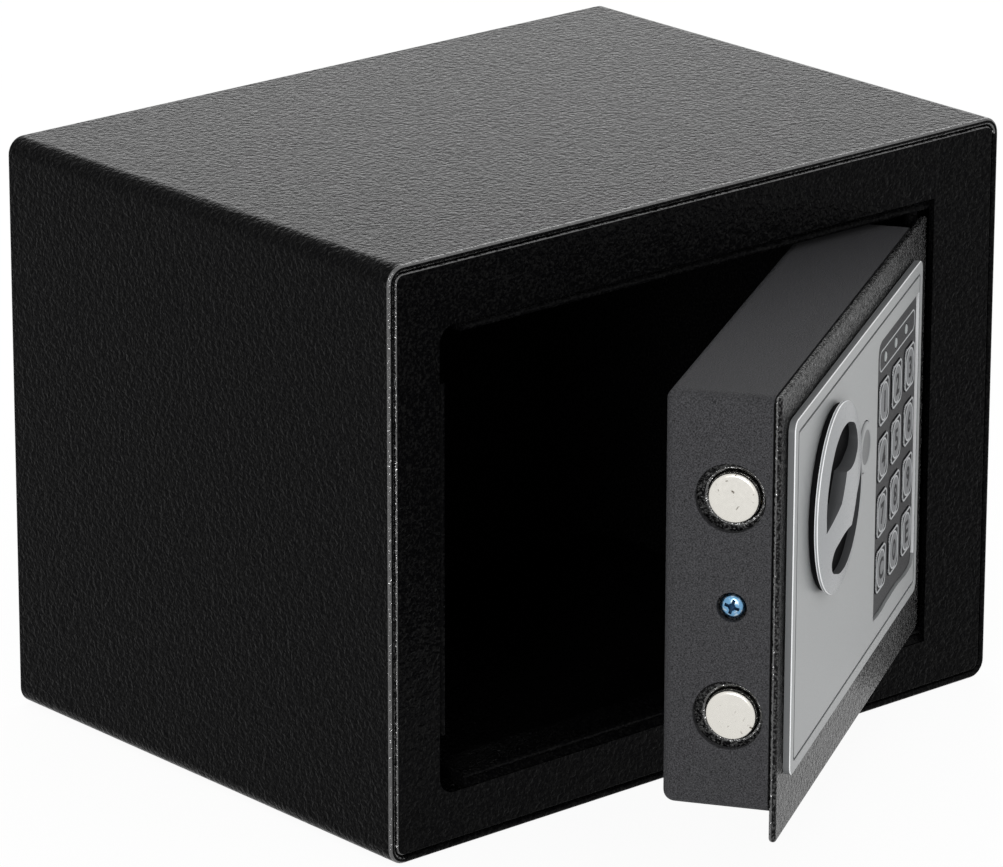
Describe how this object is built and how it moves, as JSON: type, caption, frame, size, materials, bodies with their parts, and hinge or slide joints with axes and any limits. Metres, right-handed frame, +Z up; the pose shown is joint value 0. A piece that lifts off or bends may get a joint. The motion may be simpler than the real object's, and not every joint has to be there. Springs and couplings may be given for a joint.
{
  "type": "portable car safe",
  "caption": "Small black steel safe with a hinged front door, sliding round bolts, turning knob, keypad and emergency lock.",
  "frame": {"origin": "centre of the underside of the closed body, on the surface that it stands on", "axes": "+Z up, -Y out through the door opening, +X towards the hinge side of the door"},
  "size_m": [0.228, 0.259, 0.17],
  "materials": {
    "black_coat": "glossy black powder coat with a fine wrinkle",
    "cover_plastic": "moulded, fine-grain matte",
    "silver_plastic": "satin silver grey",
    "field_plastic": "printed dark grey film, matte",
    "key_rubber": "soft matte grey with printed outlines and numbers",
    "nickel": "bright nickel with fine turning marks and small wear spots",
    "zinc": "zinc plated",
    "blue_zinc": "blue passivated zinc",
    "brass": "machined",
    "black_plastic": "moulded black",
    "board": "green solder mask",
    "led_lens": "clear lens, unlit",
    "battery_wrap": "plain printed sleeve",
    "red_plastic": "moulded red"
  },
  "bodies": {
    "cabinet": {"outer_wrap": "black_coat", "front_frame": "black_coat", "back_plate": "black_coat"},
    "door": {"door_plate": "black_coat", "door_frame": "black_coat", "rear_cover": "cover_plastic", "hinge_lug_lower": "black_coat", "hinge_lug_upper": "black_coat", "hinge_pin_lower": "black_coat", "hinge_pin_upper": "black_coat", "cover_screw": "blue_zinc", "guide_screw": "zinc", "knob_bush": "brass", "control_panel": "silver_plastic", "keypad_field": "field_plastic", "circuit_board": "board", "led_left": "led_lens", "led_middle": "led_lens", "led_right": "led_lens", "lock_barrel": "brass", "solenoid_body": "zinc", "battery_tray": "black_plastic", "contact_strip_lower": "zinc", "contact_strip_upper": "zinc", "battery_1": "battery_wrap", "battery_2": "battery_wrap", "battery_3": "battery_wrap", "battery_4": "battery_wrap"},
    "knob_set": {"knob": "silver_plastic", "knob_hub": "black_plastic", "knob_shaft": "zinc", "knob_crank": "zinc"},
    "bolt_set": {"bolt_carriage": "zinc", "bolt_lower": "nickel", "bolt_upper": "nickel"},
    "lock_core": {"lock_plug": "nickel"},
    "keyhole_cap": {"lock_cap": "silver_plastic"},
    "plunger": {"solenoid_plunger": "nickel"},
    "battery_lid": {"battery_door": "cover_plastic"},
    "reset": {"reset_button": "red_plastic"},
    "button_1": {"key_1": "key_rubber"},
    "button_2": {"key_2": "key_rubber"},
    "button_3": {"key_3": "key_rubber"},
    "button_4": {"key_4": "key_rubber"},
    "button_5": {"key_5": "key_rubber"},
    "button_6": {"key_6": "key_rubber"},
    "button_7": {"key_7": "key_rubber"},
    "button_8": {"key_8": "key_rubber"},
    "button_9": {"key_9": "key_rubber"},
    "button_clear": {"key_clear": "key_rubber"},
    "button_0": {"key_0": "key_rubber"},
    "button_enter": {"key_enter": "key_rubber"}
  },
  "joints": [
    {"name": "door_hinge", "type": "hinge", "parent": "cabinet", "child": "door", "pos_m": [0.084, -0.0788, 0.085], "axis": [0, 0, 1], "range_deg": [-32.8, 62.2]},
    {"name": "knob_turn", "type": "hinge", "parent": "door", "child": "knob_set", "pos_m": [-0.01913, -0.15026, 0.103], "axis": [0.5417, -0.8406, 0], "range_deg": [0, 90]},
    {"name": "bolt_slide", "type": "slide", "parent": "door", "child": "bolt_set", "axis": [-0.8406, -0.5417, 0], "range_m": [0, 0.01273]},
    {"name": "lock_turn", "type": "hinge", "parent": "door", "child": "lock_core", "pos_m": [0.01533, -0.12805, 0.1037], "axis": [0.5417, -0.8406, 0], "range_deg": [-90, 0]},
    {"name": "cap_lift", "type": "slide", "parent": "door", "child": "keyhole_cap", "axis": [0.5417, -0.8406, 0], "range_m": [0, 0.012]},
    {"name": "plunger_pull", "type": "slide", "parent": "door", "child": "plunger", "axis": [0.8406, 0.5417, 0], "range_m": [0, 0.004], "stiffness_N_per_m": 60},
    {"name": "battery_lid_lift", "type": "slide", "parent": "door", "child": "battery_lid", "axis": [-0.5417, 0.8406, 0], "range_m": [0, 0.012]},
    {"name": "reset_press", "type": "slide", "parent": "door", "child": "reset", "axis": [0.5417, -0.8406, 0], "range_m": [0, 0.0008], "stiffness_N_per_m": 200},
    {"name": "press_1", "type": "slide", "parent": "door", "child": "button_1", "axis": [-0.5417, 0.8406, 0], "range_m": [0, 0.0008], "stiffness_N_per_m": 300},
    {"name": "press_2", "type": "slide", "parent": "door", "child": "button_2", "axis": [-0.5417, 0.8406, 0], "range_m": [0, 0.0008], "stiffness_N_per_m": 300},
    {"name": "press_3", "type": "slide", "parent": "door", "child": "button_3", "axis": [-0.5417, 0.8406, 0], "range_m": [0, 0.0008], "stiffness_N_per_m": 300},
    {"name": "press_4", "type": "slide", "parent": "door", "child": "button_4", "axis": [-0.5417, 0.8406, 0], "range_m": [0, 0.0008], "stiffness_N_per_m": 300},
    {"name": "press_5", "type": "slide", "parent": "door", "child": "button_5", "axis": [-0.5417, 0.8406, 0], "range_m": [0, 0.0008], "stiffness_N_per_m": 300},
    {"name": "press_6", "type": "slide", "parent": "door", "child": "button_6", "axis": [-0.5417, 0.8406, 0], "range_m": [0, 0.0008], "stiffness_N_per_m": 300},
    {"name": "press_7", "type": "slide", "parent": "door", "child": "button_7", "axis": [-0.5417, 0.8406, 0], "range_m": [0, 0.0008], "stiffness_N_per_m": 300},
    {"name": "press_8", "type": "slide", "parent": "door", "child": "button_8", "axis": [-0.5417, 0.8406, 0], "range_m": [0, 0.0008], "stiffness_N_per_m": 300},
    {"name": "press_9", "type": "slide", "parent": "door", "child": "button_9", "axis": [-0.5417, 0.8406, 0], "range_m": [0, 0.0008], "stiffness_N_per_m": 300},
    {"name": "press_clear", "type": "slide", "parent": "door", "child": "button_clear", "axis": [-0.5417, 0.8406, 0], "range_m": [0, 0.0008], "stiffness_N_per_m": 300},
    {"name": "press_0", "type": "slide", "parent": "door", "child": "button_0", "axis": [-0.5417, 0.8406, 0], "range_m": [0, 0.0008], "stiffness_N_per_m": 300},
    {"name": "press_enter", "type": "slide", "parent": "door", "child": "button_enter", "axis": [-0.5417, 0.8406, 0], "range_m": [0, 0.0008], "stiffness_N_per_m": 300}
  ],
  "couplings": [
    {"joint": "knob_turn", "follows": "bolt_slide", "rad_per_m": 123.41}
  ]
}
